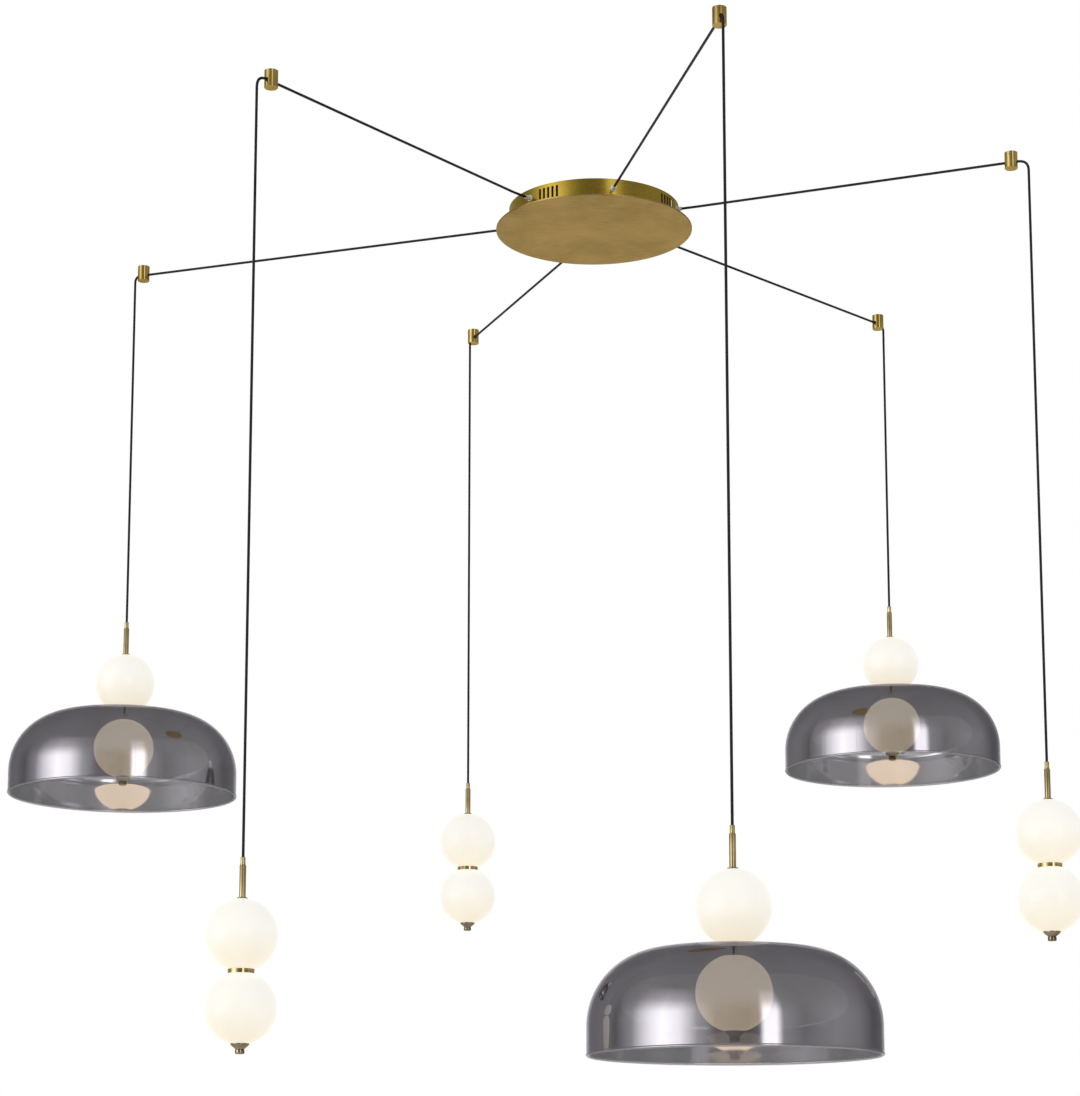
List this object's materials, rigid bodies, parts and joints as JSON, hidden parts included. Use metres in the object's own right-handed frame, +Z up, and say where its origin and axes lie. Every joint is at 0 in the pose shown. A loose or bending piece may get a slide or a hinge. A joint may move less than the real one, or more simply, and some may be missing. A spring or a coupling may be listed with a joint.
{
  "type": "cluster pendant light",
  "caption": "Ceiling cluster light: round brass canopy, black cords spread through ceiling anchors, hanging opal double globes and smoked-glass dome shades with opal globes.",
  "frame": {"origin": "centre of the canopy's ceiling face, where the bracket meets the ceiling", "axes": "+Z up into the ceiling, -Y towards the picture's viewer, +X to the viewer's right; everything hangs below z = 0"},
  "size_m": [1.7108, 1.7047, 1.4317],
  "materials": {
    "face_brass": "brushed, antique, satin",
    "housing_brass": "satin, lightly brushed",
    "anchor_brass": "polished",
    "pale_brass": "polished, pale",
    "steel": "zinc plated",
    "driver_case": "matt",
    "clear_grip": "clear, moulded",
    "black_cord": "satin sheath",
    "opal_glass": "opal, etched, lit from inside",
    "smoked_glass": "smoked, half mirrored, gloss"
  },
  "bodies": {
    "root": {"canopy_housing": "housing_brass", "canopy_face": "face_brass", "face_nuts": "steel", "ceiling_bracket": "steel", "led_driver": "driver_case", "set_screws": "steel", "outlet_grips": "clear_grip", "anchor_caps": "anchor_brass", "anchor_bases": "steel", "cord_span_1": "black_cord", "cord_span_2": "black_cord", "cord_span_3": "black_cord", "cord_span_4": "black_cord", "cord_span_5": "black_cord", "cord_span_6": "black_cord"},
    "drop_1": {"cord_drop_1": "black_cord"},
    "pendant_1": {"stem_1": "pale_brass", "light_column_1": "steel", "upper_globe_1": "opal_glass", "lower_globe_1": "opal_glass", "finial_1": "pale_brass", "ring_1": "pale_brass"},
    "drop_2": {"cord_drop_2": "black_cord"},
    "pendant_2": {"stem_2": "pale_brass", "light_column_2": "steel", "upper_globe_2": "opal_glass", "lower_globe_2": "opal_glass", "finial_2": "pale_brass", "dome_2": "smoked_glass", "spacer_2": "pale_brass"},
    "drop_3": {"cord_drop_3": "black_cord"},
    "pendant_3": {"stem_3": "pale_brass", "light_column_3": "steel", "upper_globe_3": "opal_glass", "lower_globe_3": "opal_glass", "finial_3": "pale_brass", "ring_3": "pale_brass"},
    "drop_4": {"cord_drop_4": "black_cord"},
    "pendant_4": {"stem_4": "pale_brass", "light_column_4": "steel", "upper_globe_4": "opal_glass", "lower_globe_4": "opal_glass", "finial_4": "pale_brass", "dome_4": "smoked_glass", "spacer_4": "pale_brass"},
    "drop_5": {"cord_drop_5": "black_cord"},
    "pendant_5": {"stem_5": "pale_brass", "light_column_5": "steel", "upper_globe_5": "opal_glass", "lower_globe_5": "opal_glass", "finial_5": "pale_brass", "ring_5": "pale_brass"},
    "drop_6": {"cord_drop_6": "black_cord"},
    "pendant_6": {"stem_6": "pale_brass", "light_column_6": "steel", "upper_globe_6": "opal_glass", "lower_globe_6": "opal_glass", "finial_6": "pale_brass", "dome_6": "smoked_glass", "spacer_6": "pale_brass"}
  },
  "joints": [
    {"name": "swing_1", "type": "hinge", "parent": "root", "child": "drop_1", "pos_m": [-0.49409, -0.57467, -0.03585], "axis": [0.7817, -0.6236, 0], "range_deg": [-15, 15]},
    {"name": "turn_1", "type": "hinge", "parent": "drop_1", "child": "pendant_1", "pos_m": [-0.49409, -0.57467, -1.147], "axis": [0, 0, 1], "range_deg": [-180, 180]},
    {"name": "swing_2", "type": "hinge", "parent": "root", "child": "drop_2", "pos_m": [0.16063, -0.77963, -0.02485], "axis": [0.9794, 0.2018, 0], "range_deg": [-15, 15]},
    {"name": "turn_2", "type": "hinge", "parent": "drop_2", "child": "pendant_2", "pos_m": [0.16063, -0.77963, -1.133], "axis": [0, 0, 1], "range_deg": [-180, 180]},
    {"name": "swing_3", "type": "hinge", "parent": "root", "child": "drop_3", "pos_m": [0.66711, -0.25393, -0.03385], "axis": [0.3678, 0.9299, 0], "range_deg": [-15, 15]},
    {"name": "turn_3", "type": "hinge", "parent": "drop_3", "child": "pendant_3", "pos_m": [0.66711, -0.25393, -0.96], "axis": [0, 0, 1], "range_deg": [-180, 180]},
    {"name": "swing_4", "type": "hinge", "parent": "root", "child": "drop_4", "pos_m": [0.53907, 0.54355, -0.02285], "axis": [-0.722, 0.6919, 0], "range_deg": [-15, 15]},
    {"name": "turn_4", "type": "hinge", "parent": "drop_4", "child": "pendant_4", "pos_m": [0.53907, 0.54355, -0.541], "axis": [0, 0, 1], "range_deg": [-180, 180]},
    {"name": "swing_5", "type": "hinge", "parent": "root", "child": "drop_5", "pos_m": [-0.2186, 0.63175, -0.02485], "axis": [-0.9305, -0.3664, 0], "range_deg": [-15, 15]},
    {"name": "turn_5", "type": "hinge", "parent": "drop_5", "child": "pendant_5", "pos_m": [-0.2186, 0.63175, -0.848], "axis": [0, 0, 1], "range_deg": [-180, 180]},
    {"name": "swing_6", "type": "hinge", "parent": "root", "child": "drop_6", "pos_m": [-0.79007, 0.27736, -0.02285], "axis": [-0.3352, -0.9421, 0], "range_deg": [-15, 15]},
    {"name": "turn_6", "type": "hinge", "parent": "drop_6", "child": "pendant_6", "pos_m": [-0.79007, 0.27736, -0.629], "axis": [0, 0, 1], "range_deg": [-180, 180]}
  ]
}
